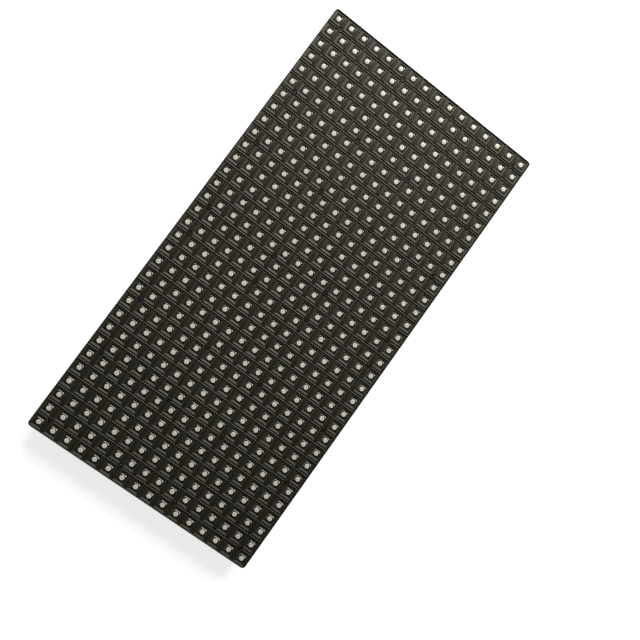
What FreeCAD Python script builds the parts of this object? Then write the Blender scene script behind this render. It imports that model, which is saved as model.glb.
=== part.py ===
import FreeCAD, Part
import os
import re
import Sketcher

# RGB LED matrix panel: a module of 32 by 16 full-colour pixels, lying on its back rim
# with the LED face up. X runs along the long side, Y along the short side, Z up.
# The origin is the middle of the rim's face, where the module meets its cabinet.

Vector = FreeCAD.Vector

SIZES = {
    # Pixel grid
    "led_pitch": 7.62,
    "led_columns": 32,
    "led_rows": 16,
    # Stack of pieces, from the rim upwards
    "well_depth": 12.0,
    "board_thickness": 1.6,
    "led_height": 2.75,
    "mask_rise": 0.15,
    # Front mask
    "mask_web": 1.2,
    "mask_wall": 1.2,
    "mask_corner": 1.2,
    "window_along": 4.27,
    "window_across": 3.67,
    "bar_top": 1.1,
    "edge_land": 0.45,
    # Board and LED packages
    "board_clearance": 0.3,
    "board_corner": 0.8,
    "led_base": 3.36,
    "led_top": 2.84,
    # Rear frame
    "frame_inset": 1.0,
    "frame_draft": 2.5,
    "frame_corner": 1.2,
    "end_rim": 15.0,
    "side_rim": 16.5,
    "well_corner": 5.5,
    "core_floor": 4.5,
    "core_wall": 2.0,
    "core_rib": 5.0,
    # Seal groove in the rim
    "groove_width": 2.1,
    "groove_depth": 2.0,
    "groove_end_edge": 7.1,
    "groove_side_edge": 10.7,
    "groove_bend": 3.0,
    # Threaded brass inserts
    "insert_outer": 5.0,
    "insert_flats": 12,
    "insert_bore": 2.5,
    "insert_length": 6.0,
    "boss_outer": 6.8,
    "corner_insert_edge": 16.4,
    "middle_insert_spacing": 80.0,
    # Ribbon headers
    "header_length": 27.8,
    "header_width": 8.8,
    "header_height": 9.1,
    "header_wall": 1.2,
    "header_floor": 2.4,
    "header_from_centre": 94.5,
    "header_ways": 8,
    "key_width": 4.5,
    "contact_pitch": 2.54,
    "contact_side": 0.64,
    "contact_recess": 1.3,
    # Power connector
    "power_ways": 4,
    "power_pitch": 3.96,
    "power_base_width": 8.5,
    "power_base_height": 3.2,
    "power_back_width": 1.6,
    "power_height": 9.4,
    "power_pin_side": 1.14,
    "power_pin_height": 8.4,
    "power_end_margin": 2.0,
    # Chips and small parts on the board's back
    "driver_length": 8.65,
    "driver_width": 3.9,
    "driver_height": 1.5,
    "driver_from_centre": 61.0,
    "driver_spacing": 15.5,
    "driver_first_row": 7.9,
    "buffer_length": 12.8,
    "buffer_width": 7.5,
    "buffer_height": 2.3,
    "buffer_from_header": 17.0,
    "buffer_row": 27.0,
    "decoder_length": 9.9,
    "decoder_width": 3.9,
    "decoder_height": 1.6,
    "decoder_row": 22.0,
    "switch_length": 4.9,
    "switch_width": 3.9,
    "switch_height": 1.6,
    "switch_spacing": 12.0,
    "switch_row": 34.0,
    "capacitor_radius": 4.0,
    "capacitor_height": 8.6,
    "capacitor_base_side": 8.3,
    "capacitor_base_height": 1.6,
    "capacitor_from_centre": 20.0,
    "small_part_length": 1.6,
    "small_part_width": 0.8,
    "small_part_height": 0.7,
    "small_part_gap": 6.6,
    "resistor_gap": 9.2,
}

# Lengths that follow from the sizes above
MASK_LENGTH = "(led_pitch * led_columns)"
MASK_WIDTH = "(led_pitch * led_rows)"
MASK_HEIGHT = "(board_thickness + led_height + mask_rise)"
WEB_LEVEL = f"(well_depth + {MASK_HEIGHT} - mask_web)"
TOP_LEVEL = f"(well_depth + {MASK_HEIGHT})"
BOARD_LENGTH = f"({MASK_LENGTH} - 2 * mask_wall - 2 * board_clearance)"
BOARD_WIDTH = f"({MASK_WIDTH} - 2 * mask_wall - 2 * board_clearance)"
RIM_LENGTH = f"({MASK_LENGTH} - 2 * frame_inset)"
RIM_WIDTH = f"({MASK_WIDTH} - 2 * frame_inset)"
WELL_LENGTH = f"({RIM_LENGTH} - 2 * end_rim)"
WELL_WIDTH = f"({RIM_WIDTH} - 2 * side_rim)"
GROOVE_X = f"({RIM_LENGTH} / 2 - groove_end_edge)"
GROOVE_Y = f"({RIM_WIDTH} / 2 - groove_side_edge)"
CORNER_INSERT_Y = f"({RIM_WIDTH} / 2 - corner_insert_edge)"
POWER_LENGTH = "((power_ways - 1) * power_pitch + 2 * power_end_margin)"

doc = FreeCAD.newDocument("led_matrix_panel")
sheet = doc.addObject("Spreadsheet::Sheet", "Dimensions")
for row, (alias, number) in enumerate(SIZES.items(), start=1):
    sheet.set(f"A{row}", alias)
    sheet.set(f"B{row}", str(number))
    sheet.setAlias(f"B{row}", alias)
doc.recompute()


def formula(text):
    """A formula in the sizes' names, as an expression on the sheet's cells."""
    return re.sub(r"[a-z_]+", lambda m: f"Dimensions.{m[0]}" if m[0] in SIZES else m[0], text)


def value(text):
    """The number that a formula comes to."""
    return float(sheet.evalExpression(formula(text)))


def new_body(label):
    body = doc.addObject("PartDesign::Body", label)
    body.Label = label
    return body


def new_sketch(body, plane, level="0"):
    """A sketch on one of the body's own planes, raised along the plane's normal."""
    sketch = body.newObject("Sketcher::SketchObject", body.Name + "_sketch")
    origin = next(p for p in body.Origin.OriginFeatures if p.Role == plane)
    sketch.AttachmentSupport = [(origin, "")]
    sketch.MapMode = "FlatFace"
    sketch.setExpression("AttachmentOffset.Base.z", formula(level))
    return sketch


def bound(sketch, kind, places, text):
    """A constraint between the places given, with its size bound to a formula."""
    number = sketch.addConstraint(Sketcher.Constraint(kind, *places, value(text)))
    sketch.renameConstraint(number, f"size_{number}")
    sketch.setExpression(f"Constraints.size_{number}", formula(text))


def distance(sketch, kind, start, end, text):
    """A horizontal or vertical distance between two points."""
    bound(sketch, kind, (*start, *end), text)


def closed_lines(sketch, points):
    """Straight lines joined end to end round a closed outline; gives the first one's number."""
    first = sketch.GeometryCount
    for start, end in zip(points, points[1:] + points[:1]):
        sketch.addGeometry(Part.LineSegment(Vector(*start, 0), Vector(*end, 0)), False)
    for i in range(len(points)):
        following = first + (i + 1) % len(points)
        sketch.addConstraint(Sketcher.Constraint("Coincident", first + i, 2, following, 1))
    return first


def rectangle(sketch, length, width, x="0", y="0"):
    """A rectangle with its centre at a place given by formulas."""
    half_length, half_width = value(length) / 2, value(width) / 2
    left, right = value(x) - half_length, value(x) + half_length
    low, high = value(y) - half_width, value(y) + half_width
    first = closed_lines(sketch, [(left, low), (right, low), (right, high), (left, high)])
    for side, kind in enumerate(("Horizontal", "Vertical", "Horizontal", "Vertical")):
        sketch.addConstraint(Sketcher.Constraint(kind, first + side))
    distance(sketch, "DistanceX", (first, 1), (first, 2), length)
    distance(sketch, "DistanceY", (first + 1, 1), (first + 1, 2), width)
    distance(sketch, "DistanceX", (-1, 1), (first, 1), f"({x} - {length} / 2)")
    distance(sketch, "DistanceY", (-1, 1), (first, 1), f"({y} - {width} / 2)")


def rounded_rectangle(sketch, length, width, radius):
    """A rectangle with round corners about the sketch's origin."""
    x, y, r = value(length) / 2, value(width) / 2, value(radius)
    quarter = 1.5707963267948966
    sides = [((r - x, -y), (x - r, -y)), ((x, r - y), (x, y - r)),
             ((x - r, y), (r - x, y)), ((-x, y - r), (-x, r - y))]
    centres = [(x - r, r - y), (x - r, y - r), (r - x, y - r), (r - x, r - y)]
    first = sketch.GeometryCount
    for i, (side, centre) in enumerate(zip(sides, centres)):
        sketch.addGeometry(Part.LineSegment(Vector(*side[0], 0), Vector(*side[1], 0)), False)
        circle = Part.Circle(Vector(*centre, 0), Vector(0, 0, 1), r)
        sketch.addGeometry(Part.ArcOfCircle(circle, (i - 1) * quarter, i * quarter), False)
    for i in range(0, 8, 2):
        line, arc, following = first + i, first + i + 1, first + (i + 2) % 8
        sketch.addConstraint(Sketcher.Constraint("Tangent", line, 2, arc, 1))
        sketch.addConstraint(Sketcher.Constraint("Tangent", arc, 2, following, 1))
        sketch.addConstraint(Sketcher.Constraint(("Horizontal", "Vertical")[i // 2 % 2], line))
        if i:
            sketch.addConstraint(Sketcher.Constraint("Equal", first + 1, arc))
    bound(sketch, "Radius", (first + 1,), radius)
    distance(sketch, "DistanceX", (first + 6, 1), (first + 2, 1), length)
    distance(sketch, "DistanceY", (first, 1), (first + 4, 1), width)
    sketch.addConstraint(Sketcher.Constraint("Symmetric", first + 1, 3, first + 5, 3, -1, 1))


def circle(sketch, x, y, diameter):
    """A circle of a given diameter, with its centre at a place given by formulas."""
    number = sketch.GeometryCount
    shape = Part.Circle(Vector(value(x), value(y), 0), Vector(0, 0, 1), value(diameter) / 2)
    sketch.addGeometry(shape, False)
    bound(sketch, "Diameter", (number,), diameter)
    distance(sketch, "DistanceX", (-1, 1), (number, 3), x)
    distance(sketch, "DistanceY", (-1, 1), (number, 3), y)


def polygon(sketch, x, y, diameter, sides):
    """A regular polygon in a circle of the given diameter, with one corner towards X."""
    radius = value(diameter) / 2
    turn = FreeCAD.Rotation(Vector(0, 0, 1), 360 / sides)
    centre = Vector(value(x), value(y), 0)
    corners, arm = [], Vector(radius, 0, 0)
    for _ in range(sides):
        corners.append((centre.x + arm.x, centre.y + arm.y))
        arm = turn.multVec(arm)
    first = closed_lines(sketch, corners)
    rim = sketch.addGeometry(Part.Circle(centre, Vector(0, 0, 1), radius), True)
    bound(sketch, "Diameter", (rim,), diameter)
    distance(sketch, "DistanceX", (-1, 1), (rim, 3), x)
    distance(sketch, "DistanceY", (-1, 1), (rim, 3), y)
    for i in range(sides):
        sketch.addConstraint(Sketcher.Constraint("PointOnObject", first + i, 1, rim))
        if i:
            sketch.addConstraint(Sketcher.Constraint("Equal", first, first + i))
    distance(sketch, "DistanceY", (rim, 3), (first, 1), "0")


def pad(body, sketch, length, both_ways=False, draft=""):
    before = 0 if body.Shape.isNull() else body.Shape.Volume
    feature = body.newObject("PartDesign::Pad", body.Name + "_pad")
    feature.Profile = sketch
    feature.Midplane = both_ways
    feature.Refine = False
    feature.setExpression("Length", formula(length))
    if draft:
        feature.setExpression("TaperAngle", formula(draft))
    doc.recompute()
    if not body.Shape.isValid() or body.Shape.Volume < before:
        raise RuntimeError(f"{feature.Name} adds nothing")
    return feature


def pocket(body, sketch, depth, upwards=False):
    """A cut below the sketch, or above it; it has to take material away."""
    before = body.Shape.Volume
    feature = body.newObject("PartDesign::Pocket", body.Name + "_pocket")
    feature.Profile = sketch
    feature.Reversed = upwards
    feature.Refine = False
    feature.setExpression("Length", formula(depth))
    doc.recompute()
    if body.Shape.Volume >= before:
        raise RuntimeError(f"{feature.Name} cuts nothing")
    return feature


def block(label, length, width, height, x="0", y="0"):
    """A block of the given size, centred at x and y, hanging from the board's back."""
    box = doc.addObject("Part::Box", label)
    box.Label = label
    box.setExpression("Length", formula(length))
    box.setExpression("Width", formula(width))
    box.setExpression("Height", formula(height))
    box.setExpression("Placement.Base.x", formula(f"{x} - {length} / 2"))
    box.setExpression("Placement.Base.y", formula(f"{y} - {width} / 2"))
    box.setExpression("Placement.Base.z", formula(f"well_depth - {height}"))
    doc.recompute()
    return box


def copies_at(label, master, places):
    """Separate copies of one master piece, moved by each of the places."""
    group = doc.addObject("Part::Feature", label)
    group.Label = label
    group.Shape = Part.makeCompound([master.Shape.translated(Vector(*p)) for p in places])
    group.Placement = FreeCAD.Placement()
    return group


# The signs of X and Y in the module's four quarters
QUARTERS = [(-1, -1), (-1, 1), (1, -1), (1, 1)]


# Rear frame: one moulding, a wide flat rim round an open well. Its sides spread
# towards the front with the mould's draft, up to the board.
frame = new_body("rear_frame")
outline = new_sketch(frame, "XY_Plane")
rounded_rectangle(outline, RIM_LENGTH, RIM_WIDTH, "frame_corner")
pad(frame, outline, "well_depth", draft="frame_draft")
well = new_sketch(frame, "XY_Plane")
rounded_rectangle(well, WELL_LENGTH, WELL_WIDTH, "well_corner")
pocket(frame, well, "well_depth", upwards=True)

# The seal groove runs round the rim through the threaded inserts
groove = new_sketch(frame, "XY_Plane")
for side in (1, -1):
    rounded_rectangle(
        groove,
        f"(2 * {GROOVE_X} + {side} * groove_width)",
        f"(2 * {GROOVE_Y} + {side} * groove_width)",
        f"(groove_bend + {side} * groove_width / 2)",
    )
pocket(frame, groove, "groove_depth", upwards=True)

# Round bosses close the groove at the inserts, and blind holes take the inserts
INSERT_PLACES = [
    (f"({a} * {x})", f"({b} * {y})") for a, b in QUARTERS
    for x, y in ((GROOVE_X, CORNER_INSERT_Y), ("middle_insert_spacing / 2", GROOVE_Y))
]
bosses = new_sketch(frame, "XY_Plane")
for x, y in INSERT_PLACES:
    circle(bosses, x, y, "boss_outer")
pad(frame, bosses, "groove_depth")
holes = new_sketch(frame, "XY_Plane")
for x, y in INSERT_PLACES:
    polygon(holes, x, y, "insert_outer", int(value("insert_flats")))
pocket(frame, holes, "insert_length", upwards=True)

# Cores open to the front keep the moulding's walls thin; ribs stay at the inserts
SIDE_CORE_WIDTH = "(side_rim - 2 * core_wall)"
SIDE_CORE_Y = f"({WELL_WIDTH} / 2 + side_rim / 2)"
END_CORE_LENGTH = "(end_rim - 2 * core_wall)"
END_CORE_X = f"({WELL_LENGTH} / 2 + end_rim / 2)"
INSERT_RIB = "(boss_outer / 2 + core_rib / 2)"
INNER_CORE = f"(middle_insert_spacing / 2 - {INSERT_RIB} - core_rib / 2)"
OUTER_START = f"(middle_insert_spacing / 2 + {INSERT_RIB})"
OUTER_CORE = f"({WELL_LENGTH} / 2 - well_corner - {OUTER_START})"
END_CORE = f"({CORNER_INSERT_Y} - {INSERT_RIB} - core_rib / 2)"
cores = new_sketch(frame, "XY_Plane", "well_depth")
for a, b in QUARTERS:
    rectangle(cores, INNER_CORE, SIDE_CORE_WIDTH,
              f"({a} * (core_rib / 2 + {INNER_CORE} / 2))", f"({b} * {SIDE_CORE_Y})")
    rectangle(cores, OUTER_CORE, SIDE_CORE_WIDTH,
              f"({a} * ({OUTER_START} + {OUTER_CORE} / 2))", f"({b} * {SIDE_CORE_Y})")
    rectangle(cores, END_CORE_LENGTH, END_CORE,
              f"({a} * {END_CORE_X})", f"({b} * (core_rib / 2 + {END_CORE} / 2))")
last = pocket(frame, cores, "(well_depth - core_floor)")
last.Refine = True

# Threaded inserts: eight brass bushes pressed flush into the rim, faceted against turning
bush = new_body("insert_master")
ring = new_sketch(bush, "XY_Plane")
polygon(ring, "0", "0", "insert_outer", int(value("insert_flats")))
circle(ring, "0", "0", "insert_bore")
pad(bush, ring, "insert_length")
copies_at("threaded_inserts", bush, [(value(x), value(y), 0) for x, y in INSERT_PLACES])

# Circuit board: a bare plate on the frame's front face
board = new_body("circuit_board")
outline = new_sketch(board, "XY_Plane", "well_depth")
rounded_rectangle(outline, BOARD_LENGTH, BOARD_WIDTH, "board_corner")
pad(board, outline, "board_thickness")

# LED packages: one square package for each pixel, soldered to the board, its face almost
# level with the mask's ridges. Its sides lean in;
# the wedge grows along its own Y, so it is turned to stand upright.
FIRST_X = f"((led_pitch - {MASK_LENGTH}) / 2)"
FIRST_Y = f"((led_pitch - {MASK_WIDTH}) / 2)"
package = doc.addObject("Part::Wedge", "led_master")
package.Label = "led_master"
package.Placement = FreeCAD.Placement(Vector(), FreeCAD.Rotation(Vector(1, 0, 0), 90))
for level, size in (("", "led_base"), ("2", "led_top")):
    for axis in ("X", "Z"):
        package.setExpression(f"{axis}{level}min", formula(f"(0 - {size}) / 2"))
        package.setExpression(f"{axis}{level}max", formula(f"{size} / 2"))
package.setExpression("Ymin", "0")
package.setExpression("Ymax", formula("led_height"))
package.setExpression("Placement.Base.x", formula(FIRST_X))
package.setExpression("Placement.Base.y", formula(FIRST_Y))
package.setExpression("Placement.Base.z", formula("well_depth + board_thickness"))
doc.recompute()
pitch = value("led_pitch")
copies_at("led_packages", package, [
    (column * pitch, row * pitch, 0)
    for column in range(int(value("led_columns"))) for row in range(int(value("led_rows")))
])

# Front mask: one moulding. A skirt stands on the frame round the board; above it
# a web has a tapered well for each LED, between crossing bars.
mask = new_body("mask_frame")
outline = new_sketch(mask, "XY_Plane", "well_depth")
rounded_rectangle(outline, MASK_LENGTH, MASK_WIDTH, "mask_corner")
pad(mask, outline, MASK_HEIGHT)
recess = new_sketch(mask, "XY_Plane", "well_depth")
rectangle(recess, f"({MASK_LENGTH} - 2 * mask_wall)", f"({MASK_WIDTH} - 2 * mask_wall)")
pocket(mask, recess, f"({MASK_HEIGHT} - mask_web)", upwards=True)
foot_opening = new_sketch(mask, "XY_Plane", WEB_LEVEL)
rectangle(foot_opening, f"({MASK_LENGTH} - led_pitch + window_along)",
          f"({MASK_WIDTH} - led_pitch + window_across)")
top_opening = new_sketch(mask, "XY_Plane", TOP_LEVEL)
rectangle(top_opening, f"({MASK_LENGTH} - bar_top)", f"({MASK_WIDTH} - 2 * edge_land)")
opening = mask.newObject("PartDesign::SubtractiveLoft", "mask_opening")
opening.Profile = foot_opening
opening.Sections = [top_opening]
opening.Refine = False
doc.recompute()


def bar_section(sketch, place, foot, top):
    """A bar's section: a foot as wide as the web between windows, and a flat or sharp top."""
    centre, low, high = value(place), value(WEB_LEVEL), value(TOP_LEVEL)
    half_foot, half_top = value(foot) / 2, value(top) / 2
    points = [(centre - half_foot, low), (centre + half_foot, low), (centre + half_top, high)]
    if half_top:
        points.append((centre - half_top, high))
    first = closed_lines(sketch, points)
    sketch.addConstraint(Sketcher.Constraint("Horizontal", first))
    distance(sketch, "DistanceX", (first, 1), (first, 2), foot)
    distance(sketch, "DistanceX", (-1, 1), (first, 1), f"({place} - {foot} / 2)")
    distance(sketch, "DistanceY", (-1, 1), (first, 1), WEB_LEVEL)
    distance(sketch, "DistanceY", (first, 1), (first + 1, 2), "mask_web")
    distance(sketch, "DistanceX", (first, 1), (first + 1, 2), f"({foot} / 2 + {top} / 2)")
    if half_top:
        sketch.addConstraint(Sketcher.Constraint("Horizontal", first + 2))
        distance(sketch, "DistanceX", (first + 2, 2), (first + 2, 1), top)


# Flat-topped bars run across the module between the columns of LEDs
cross_bar = new_body("cross_bar_master")
section = new_sketch(cross_bar, "XZ_Plane")
bar_section(section, f"(led_pitch - {MASK_LENGTH} / 2)", "(led_pitch - window_along)", "bar_top")
pad(cross_bar, section, f"({MASK_WIDTH} - edge_land)", both_ways=True)
cross_bars = copies_at("cross_bars", cross_bar, [
    (column * pitch, 0, 0) for column in range(int(value("led_columns")) - 1)
])

# Sharp ridges run along the module between the rows of LEDs
ridge = new_body("ridge_master")
section = new_sketch(ridge, "YZ_Plane")
bar_section(section, f"(led_pitch - {MASK_WIDTH} / 2)", "(led_pitch - window_across)", "0")
pad(ridge, section, f"({MASK_LENGTH} - bar_top / 2)", both_ways=True)
ridges = copies_at("ridges", ridge, [
    (0, row * pitch, 0) for row in range(int(value("led_rows")) - 1)
])

front_mask = doc.addObject("Part::MultiFuse", "front_mask")
front_mask.Label = "front_mask"
front_mask.Shapes = [mask, cross_bars, ridges]
front_mask.Refine = True
doc.recompute()


# Ribbon headers: a shrouded two-row header near each end of the board
HEADER_TIP = "(well_depth - header_height)"
CONTACT_SPAN = "((header_ways - 1) * contact_pitch)"


def header(label, end):
    """A shroud with a key slot towards the module's middle, and its two rows of contacts."""
    centre = f"({end} * header_from_centre)"
    contact = block(f"{label}_contact", "contact_side", "contact_side",
                    "(header_height - contact_recess)",
                    f"({centre} - contact_pitch / 2)", f"(0 - {CONTACT_SPAN} / 2)")
    step = value("contact_pitch")
    contacts = copies_at(f"{label}_contacts", contact, [
        (column * step, way * step, 0)
        for column in (0, 1) for way in range(int(value("header_ways")))
    ])
    shroud = new_body(f"{label}_solid_shroud")
    outer = new_sketch(shroud, "XY_Plane", HEADER_TIP)
    rectangle(outer, "header_width", "header_length", centre)
    pad(shroud, outer, "header_height")
    cavity = new_sketch(shroud, "XY_Plane", HEADER_TIP)
    rectangle(cavity, "(header_width - 2 * header_wall)", "(header_length - 2 * header_wall)",
              centre)
    pocket(shroud, cavity, "(header_height - header_floor)", upwards=True)
    key = new_sketch(shroud, "XY_Plane", HEADER_TIP)
    rectangle(key, "header_wall", "key_width",
              f"({centre} - {end} * (header_width - header_wall) / 2)")
    pocket(shroud, key, "(header_height - header_floor)", upwards=True)
    housing = doc.addObject("Part::Cut", f"{label}_housing")
    housing.Label = f"{label}_housing"
    housing.Base = shroud
    housing.Tool = contacts
    doc.recompute()


header("input_header", -1)
header("output_header", 1)

# Power connector: a four-way base with a friction wall behind its pins
power = new_body("power_connector")
base = new_sketch(power, "XY_Plane", "(well_depth - power_base_height)")
rectangle(base, POWER_LENGTH, "power_base_width")
pad(power, base, "power_base_height")
wall = new_sketch(power, "XY_Plane", "(well_depth - power_height)")
rectangle(wall, POWER_LENGTH, "power_back_width", "0",
          "((power_base_width - power_back_width) / 2)")
pad(power, wall, "(power_height - power_base_height)")
pin_places = new_sketch(power, "XY_Plane", "(well_depth - power_base_height)")
for way in range(int(value("power_ways"))):
    rectangle(pin_places, "power_pin_side", "power_pin_side",
              f"({way} * power_pitch - (power_ways - 1) * power_pitch / 2)")
pocket(power, pin_places, "power_base_height", upwards=True)
pin = block("power_pin", "power_pin_side", "power_pin_side", "power_pin_height",
            "((1 - power_ways) * power_pitch / 2)")
copies_at("power_pins", pin, [
    (way * value("power_pitch"), 0, 0) for way in range(int(value("power_ways")))
])

# Driver chips: three for each half of the rows, in a line across each half of the module
DRIVER_ROWS = [f"(driver_first_row + {i} * driver_spacing)" for i in range(3)]
driver = block("driver_master", "driver_width", "driver_length", "driver_height")
driver_places = [
    (a * value("driver_from_centre"), b * value(row), 0)
    for a, b in QUARTERS for row in DRIVER_ROWS
]
copies_at("driver_chips", driver, driver_places)

# Each driver has a decoupling capacitor and a current-setting resistor beside it
small = block("small_part_master", "small_part_length", "small_part_width", "small_part_height")
for label, gap in (("chip_capacitors", "small_part_gap"), ("chip_resistors", "resistor_gap")):
    copies_at(label, small, [(x - value(gap), y, 0) for x, y, z in driver_places])

# Line buffers stand beside the headers, the row decoder and its switches between them
buffer_chip = block("buffer_master", "buffer_width", "buffer_length", "buffer_height")
BUFFER_X = "(header_from_centre - buffer_from_header)"
copies_at("buffer_chips", buffer_chip, [
    (a * value(BUFFER_X), value("buffer_row"), 0) for a in (-1, 1)
])
block("row_decoder_chip", "decoder_length", "decoder_width", "decoder_height", y="decoder_row")
switch = block("switch_master", "switch_length", "switch_width", "switch_height")
copies_at("row_switch_chips", switch, [
    ((i - 1.5) * value("switch_spacing"), value("switch_row"), 0) for i in range(4)
])

# Smoothing capacitors: aluminium cans on moulded bases, either side of the power connector
can_base = block("capacitor_base_master", "capacitor_base_side", "capacitor_base_side",
                 "capacitor_base_height")
can = new_body("capacitor_can_master")
can_round = new_sketch(can, "XY_Plane", "(well_depth - capacitor_height)")
circle(can_round, "0", "0", "(2 * capacitor_radius)")
pad(can, can_round, "(capacitor_height - capacitor_base_height)")
can_places = [(a * value("capacitor_from_centre"), 0, 0) for a in (-1, 1)]
copies_at("capacitor_bases", can_base, can_places)
copies_at("capacitor_cans", can, can_places)

NODES = [
    "front_mask", "led_packages", "circuit_board", "rear_frame", "threaded_inserts",
    "input_header_housing", "input_header_contacts",
    "output_header_housing", "output_header_contacts",
    "power_connector", "power_pins", "driver_chips", "buffer_chips", "row_decoder_chip",
    "row_switch_chips", "chip_capacitors", "chip_resistors", "capacitor_bases",
    "capacitor_cans",
]

doc.recompute()
for item in doc.Objects:
    if "Invalid" in item.State or "Error" in item.State:
        raise RuntimeError(f"{item.Name} failed: {item.State}")
os.makedirs("parts", exist_ok=True)
parts = [doc.getObjectsByLabel(node)[0] for node in NODES]
for part in parts:
    if part.Shape.isNull() or not part.Shape.isValid():
        raise RuntimeError(f"{part.Label} has no valid shape")
for part in parts:
    part.Shape.exportStep(f"parts/{part.Label}.step")
    box = part.Shape.BoundBox
    print(f"{part.Label}: {len(part.Shape.Solids)} solids, {part.Shape.Volume:.1f} mm3,"
          f" {box.XLength:.2f} x {box.YLength:.2f} x {box.ZLength:.2f} mm")
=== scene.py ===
import math

import bmesh
import bpy
from mathutils import Matrix, Vector


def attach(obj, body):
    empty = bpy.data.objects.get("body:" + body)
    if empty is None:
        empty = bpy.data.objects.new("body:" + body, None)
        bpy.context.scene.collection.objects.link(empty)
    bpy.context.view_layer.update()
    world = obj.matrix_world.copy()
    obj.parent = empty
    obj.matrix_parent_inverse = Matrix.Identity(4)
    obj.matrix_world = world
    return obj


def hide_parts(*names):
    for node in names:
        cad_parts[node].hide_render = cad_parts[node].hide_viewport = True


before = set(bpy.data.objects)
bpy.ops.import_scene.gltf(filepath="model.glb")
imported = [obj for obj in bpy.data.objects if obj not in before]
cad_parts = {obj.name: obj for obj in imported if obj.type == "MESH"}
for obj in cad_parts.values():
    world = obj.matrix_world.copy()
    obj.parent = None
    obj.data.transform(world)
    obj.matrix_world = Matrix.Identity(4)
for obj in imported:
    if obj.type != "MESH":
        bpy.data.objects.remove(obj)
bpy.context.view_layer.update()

MM = 0.001


# View and light.
# The camera stands where the photograph was taken, almost straight above the panel's face.
# One broad soft lamp stands beyond the signal input end, over a pale floor and in a dim room,
# and another beneath the floor lights the back.
scene = bpy.context.scene
scene.view_settings.view_transform = "Standard"

EYE = Vector((32.55, -28.91, 386.64)) * MM
SIGHT_RIGHT = Vector((-0.58291, 0.79825, 0.15172))
SIGHT_AHEAD = Vector((-0.07588, 0.13243, -0.98829))
LENS = 43.77

sight = Matrix((SIGHT_RIGHT, SIGHT_RIGHT.cross(SIGHT_AHEAD), -SIGHT_AHEAD)).transposed()
camera = bpy.data.objects.new("camera", bpy.data.cameras.new("camera"))
camera.matrix_world = Matrix.Translation(EYE) @ sight.to_4x4()
camera.data.sensor_width = 36.0
camera.data.lens = LENS
camera.data.clip_start = 0.01
scene.collection.objects.link(camera)
scene.camera = camera


LAMP_SIDE = 0.60


def soft_lamp(name, place, watts, warmth):
    """A square studio softbox that faces the panel."""
    lamp = bpy.data.lights.new(name, "AREA")
    lamp.size = LAMP_SIDE
    lamp.energy = watts
    lamp.color = warmth
    holder = bpy.data.objects.new(name, lamp)
    holder.location = place
    holder.rotation_euler = (-Vector(place)).to_track_quat("-Z", "Y").to_euler()
    scene.collection.objects.link(holder)


soft_lamp("key_lamp", (-0.62, -0.02, 0.54), 7.8, (1.0, 0.985, 0.91))
soft_lamp("lamp_beneath", (-0.30, 0.20, -0.60), 7.0, (1.0, 0.985, 0.93))


def set_inputs(node, values):
    """Sets a node's inputs by their names."""
    for name, value in values.items():
        node.inputs[name].default_value = value


# The room is grey for the light that it gives and white where the camera sees it
WHITE = (1.0, 1.0, 1.0, 1.0)
ROOM_WALLS = 0.14
ROOM_CEILING = 0.03
CEILING_FROM, CEILING_FULL = 0.80, 0.98
room = bpy.data.worlds.new("room")
scene.world = room
room.use_nodes = True
room_nodes = room.node_tree.nodes
room_links = room.node_tree.links
room_nodes.clear()
room_out = room_nodes.new("ShaderNodeOutputWorld")
room_paths = room_nodes.new("ShaderNodeLightPath")
room_grey = room_nodes.new("ShaderNodeBackground")
set_inputs(room_grey, {"Color": WHITE})
room_place = room_nodes.new("ShaderNodeTexCoord")
room_parts = room_nodes.new("ShaderNodeSeparateXYZ")
room_height = room_nodes.new("ShaderNodeMapRange")
set_inputs(room_height, {"From Min": CEILING_FROM, "From Max": CEILING_FULL,
                         "To Min": ROOM_WALLS, "To Max": ROOM_CEILING})
room_links.new(room_place.outputs["Generated"], room_parts.inputs["Vector"])
room_links.new(room_parts.outputs["Z"], room_height.inputs["Value"])
room_links.new(room_height.outputs["Result"], room_grey.inputs["Strength"])
room_white = room_nodes.new("ShaderNodeBackground")
set_inputs(room_white, {"Color": WHITE, "Strength": 1.0})
room_mix = room_nodes.new("ShaderNodeMixShader")
room_links.new(room_paths.outputs["Is Camera Ray"], room_mix.inputs["Fac"])
room_links.new(room_grey.outputs["Background"], room_mix.inputs[1])
room_links.new(room_white.outputs["Background"], room_mix.inputs[2])
room_links.new(room_mix.outputs["Shader"], room_out.inputs["Surface"])


# Floor.
# A smooth pale sheet that the panel lies on. It looks white in the picture and still
# shows the panel's soft shadow.
FLOOR_REACH = 4.0
FLOOR_GLOW = 0.75
FLOOR_GAP = 0.0002

floor_sheet = bpy.data.meshes.new("floor")
floor_form = bmesh.new()
bmesh.ops.create_circle(floor_form, cap_ends=True, radius=FLOOR_REACH, segments=96)
floor_form.to_mesh(floor_sheet)
floor_form.free()
floor = bpy.data.objects.new("floor", floor_sheet)
floor.location.z = -FLOOR_GAP
scene.collection.objects.link(floor)


def math_node(tree, operation, *values):
    """A Math node's result. Each of its values is a number or the output of another node."""
    node = tree.nodes.new("ShaderNodeMath")
    node.operation = operation
    for value, taken in zip(values, node.inputs):
        if isinstance(value, float):
            taken.default_value = value
        else:
            tree.links.new(value, taken)
    return node.outputs["Value"]


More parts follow.
